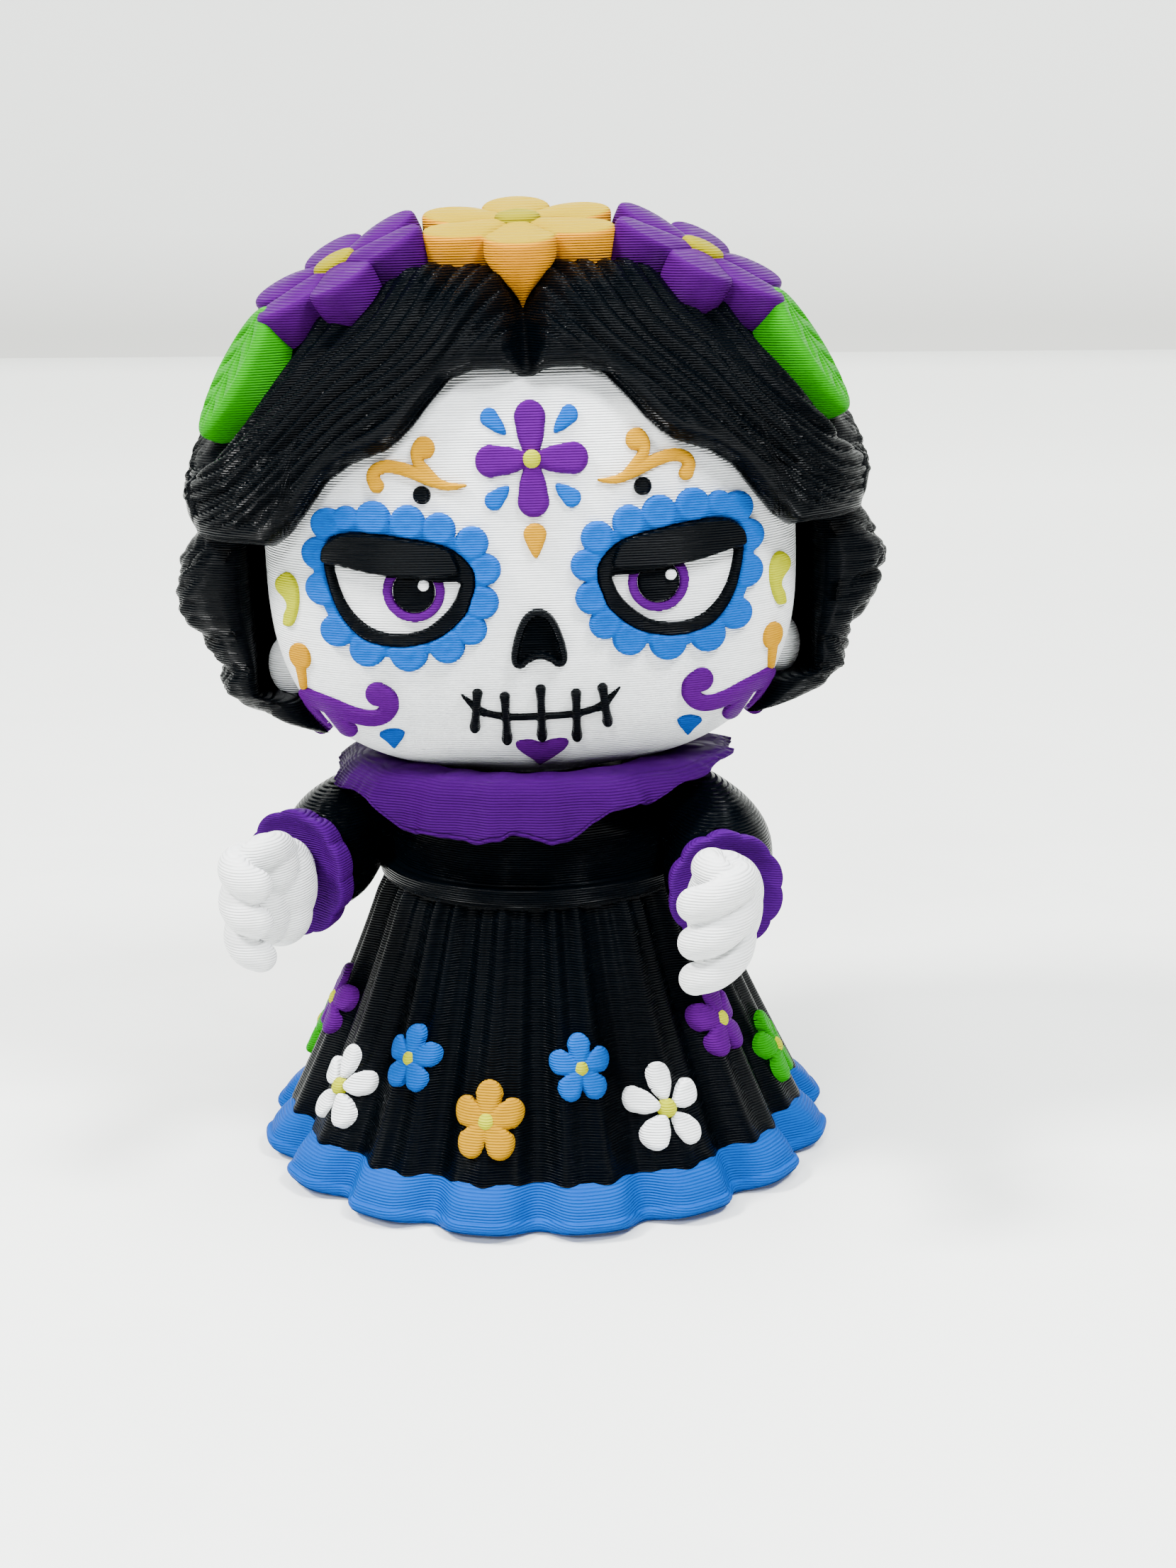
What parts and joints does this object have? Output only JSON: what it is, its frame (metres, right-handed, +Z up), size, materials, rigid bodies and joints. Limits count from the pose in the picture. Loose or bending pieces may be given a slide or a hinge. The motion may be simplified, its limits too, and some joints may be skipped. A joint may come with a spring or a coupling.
{
  "type": "catrina figure",
  "caption": "Small printed catrina doll with a wide painted skull face, a crown of flowers over black hair, and a black dress with purple frills, flowers and a blue ruffled hem.",
  "frame": {"origin": "centre of the underside of the hem, where the figure stands", "axes": "+Z up from the hem to the crown, the dress faces -Y and the face looks 15 degrees from -Y towards +X"},
  "size_m": [0.0638, 0.0556, 0.0872],
  "materials": {
    "white_plastic": "glossy white print plastic",
    "black_plastic": "shiny black print plastic with fine layer lines",
    "purple_plastic": "glossy purple print plastic",
    "blue_plastic": "satin bright blue print plastic",
    "orange_plastic": "glossy orange yellow print plastic",
    "yellow_plastic": "satin yellow green print plastic",
    "green_plastic": "glossy bright green print plastic"
  },
  "bodies": {
    "root": {"bridge_drop": "orange_plastic", "brow_dot_left": "black_plastic", "brow_dot_right": "black_plastic", "brow_scroll_left": "orange_plastic", "brow_scroll_right": "orange_plastic", "cheek_drop_left": "blue_plastic", "cheek_drop_right": "blue_plastic", "cheek_scroll_left": "purple_plastic", "cheek_scroll_right": "purple_plastic", "chin_heart": "purple_plastic", "collar": "purple_plastic", "crown_centre_left": "yellow_plastic", "crown_centre_right": "yellow_plastic", "crown_centre_top": "yellow_plastic", "crown_flower_left": "purple_plastic", "crown_flower_right": "purple_plastic", "crown_flower_top": "orange_plastic", "cuff_left": "purple_plastic", "cuff_right": "purple_plastic", "dress": "black_plastic", "dress_flower_blue_left": "blue_plastic", "dress_flower_blue_right": "blue_plastic", "dress_flower_green_left": "green_plastic", "dress_flower_green_right": "green_plastic", "dress_flower_orange_back": "orange_plastic", "dress_flower_orange_front": "orange_plastic", "dress_flower_purple_left": "purple_plastic", "dress_flower_purple_right": "purple_plastic", "dress_flower_white_back_left": "white_plastic", "dress_flower_white_back_right": "white_plastic", "dress_flower_white_left": "white_plastic", "dress_flower_white_right": "white_plastic", "eye_lid_left": "black_plastic", "eye_lid_right": "black_plastic", "eye_surround_left": "blue_plastic", "eye_surround_right": "blue_plastic", "forehead_centre": "yellow_plastic", "forehead_flower": "purple_plastic", "hair": "black_plastic", "hand_left": "white_plastic", "hand_right": "white_plastic", "head": "white_plastic", "hem": "blue_plastic", "iris_left": "purple_plastic", "iris_right": "purple_plastic", "leaf_left": "green_plastic", "leaf_right": "green_plastic", "lower_drop_left": "blue_plastic", "lower_drop_right": "blue_plastic", "mouth": "black_plastic", "nose": "black_plastic", "temple_mark_left": "orange_plastic", "temple_mark_right": "orange_plastic", "temple_paisley_left": "yellow_plastic", "temple_paisley_right": "yellow_plastic", "upper_drop_left": "blue_plastic", "upper_drop_right": "blue_plastic"}
  },
  "joints": []
}
